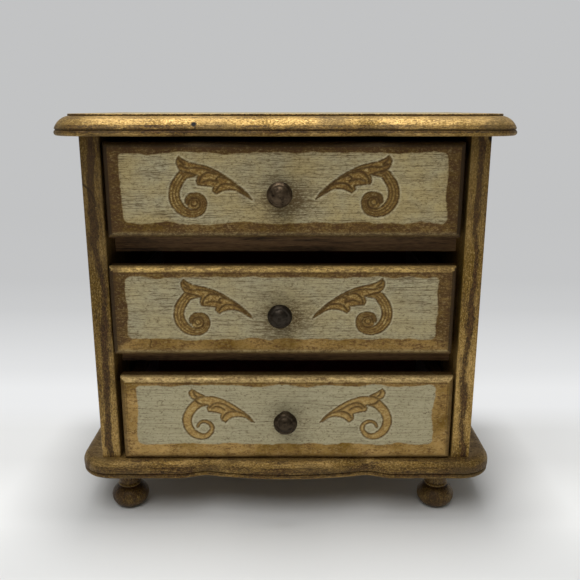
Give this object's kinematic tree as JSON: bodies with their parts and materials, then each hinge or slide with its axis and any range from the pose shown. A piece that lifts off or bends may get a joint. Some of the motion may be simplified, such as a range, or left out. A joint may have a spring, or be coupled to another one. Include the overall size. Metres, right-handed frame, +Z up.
{
  "type": "musical jewelry box",
  "caption": "Small gilt and cream jewelry chest on ball feet, with a serpentine top and base, drawers with round knobs, and a wind-up musical movement behind the bottom drawer.",
  "frame": {"origin": "on the surface the box stands on, under the middle of its whole outline", "axes": "+Z up, +X to the viewer's right, -Y out of the drawer fronts"},
  "size_m": [0.2294, 0.164, 0.2159],
  "materials": {
    "gilt_moulding": "worn water-gilt over brown bole, satin",
    "gilt_side": "worn gilt over red-brown bole, satin",
    "gilt_foot": "dark worn gilt, satin",
    "painted_front": "distressed cream paint with a gilt border",
    "case_wood": "brown-stained poplar, matte",
    "back_board": "stained plywood, matte",
    "drawer_wood": "plain poplar, matte",
    "velvet": "short-pile red velvet",
    "antique_knob": "dark antiqued brass",
    "brass": "machined brass",
    "steel": "plain steel"
  },
  "bodies": {
    "case": {"top_board": "gilt_moulding", "base_board": "gilt_moulding", "side_left": "gilt_side", "side_right": "gilt_side", "back_panel": "back_board", "shelf_lower": "case_wood", "shelf_upper": "case_wood", "back_brads": "steel", "side_screws": "steel", "top_dowels": "case_wood", "foot_front_left": "gilt_foot", "foot_front_right": "gilt_foot", "foot_rear_left": "gilt_foot", "foot_rear_right": "gilt_foot", "bedplate": "brass", "front_plate": "brass", "rear_plate": "brass", "steel_comb": "steel", "comb_seat": "brass", "comb_screws": "steel", "governor_frame": "brass", "lever_post": "brass", "movement_screws": "steel"},
    "drawer_bottom": {"drawer_bottom_front": "painted_front", "drawer_bottom_side_left": "drawer_wood", "drawer_bottom_side_right": "drawer_wood", "drawer_bottom_floor": "drawer_wood", "drawer_bottom_back": "drawer_wood", "drawer_bottom_lining": "velvet", "drawer_bottom_knob": "antique_knob", "drawer_bottom_knob_screw": "steel"},
    "drawer_middle": {"drawer_middle_front": "painted_front", "drawer_middle_side_left": "drawer_wood", "drawer_middle_side_right": "drawer_wood", "drawer_middle_floor": "drawer_wood", "drawer_middle_back": "drawer_wood", "drawer_middle_lining": "velvet", "drawer_middle_knob": "antique_knob", "drawer_middle_knob_screw": "steel"},
    "drawer_top": {"drawer_top_front": "painted_front", "drawer_top_side_left": "drawer_wood", "drawer_top_side_right": "drawer_wood", "drawer_top_floor": "drawer_wood", "drawer_top_back": "drawer_wood", "drawer_top_lining": "velvet", "drawer_top_knob": "antique_knob", "drawer_top_knob_screw": "steel"},
    "barrel": {"spring_barrel": "brass", "barrel_cap": "brass", "mainspring": "steel"},
    "winding": {"winding_arbor": "steel", "winding_key": "brass"},
    "cylinder": {"cylinder_drum": "brass", "cylinder_arbor": "brass"},
    "second_arbor": {"worm_wheel": "brass"},
    "governor": {"governor_worm": "steel", "governor_fan": "brass"},
    "stop_lever": {"stop_lever": "brass"}
  },
  "joints": [
    {"name": "drawer_bottom_slide", "type": "slide", "parent": "case", "child": "drawer_bottom", "axis": [0, -1, 0], "range_m": [0, 0.05]},
    {"name": "drawer_middle_slide", "type": "slide", "parent": "case", "child": "drawer_middle", "axis": [0, -1, 0], "range_m": [0, 0.085]},
    {"name": "drawer_top_slide", "type": "slide", "parent": "case", "child": "drawer_top", "axis": [0, -1, 0], "range_m": [0, 0.085]},
    {"name": "cylinder_spin", "type": "hinge", "parent": "case", "child": "cylinder", "pos_m": [0.02, 0.0382, 0.05304], "axis": [0, 1, 0], "continuous": true},
    {"name": "barrel_spin", "type": "hinge", "parent": "case", "child": "barrel", "pos_m": [0, 0.0382, 0.05304], "axis": [0, 1, 0], "continuous": true},
    {"name": "second_arbor_spin", "type": "hinge", "parent": "case", "child": "second_arbor", "pos_m": [0.03028, 0.0382, 0.0653], "axis": [0, 1, 0], "continuous": true},
    {"name": "key_turn", "type": "hinge", "parent": "case", "child": "winding", "pos_m": [0, 0.0382, 0.05304], "axis": [0, 1, 0], "continuous": true},
    {"name": "governor_spin", "type": "hinge", "parent": "case", "child": "governor", "pos_m": [0.03843, 0.03935, 0.0774], "axis": [0, 0, 1], "continuous": true},
    {"name": "stop_lever_swing", "type": "hinge", "parent": "case", "child": "stop_lever", "pos_m": [0.045, 0.0227, 0.07305], "axis": [0, 0, -1], "range_deg": [0, 8]}
  ],
  "couplings": [
    {"joint": "barrel_spin", "follows": "cylinder_spin", "ratio": -0.38889},
    {"joint": "second_arbor_spin", "follows": "cylinder_spin", "ratio": -3},
    {"joint": "governor_spin", "follows": "cylinder_spin", "ratio": -72},
    {"joint": "stop_lever_swing", "follows": "drawer_bottom_slide", "rad_per_m": 2.7}
  ]
}
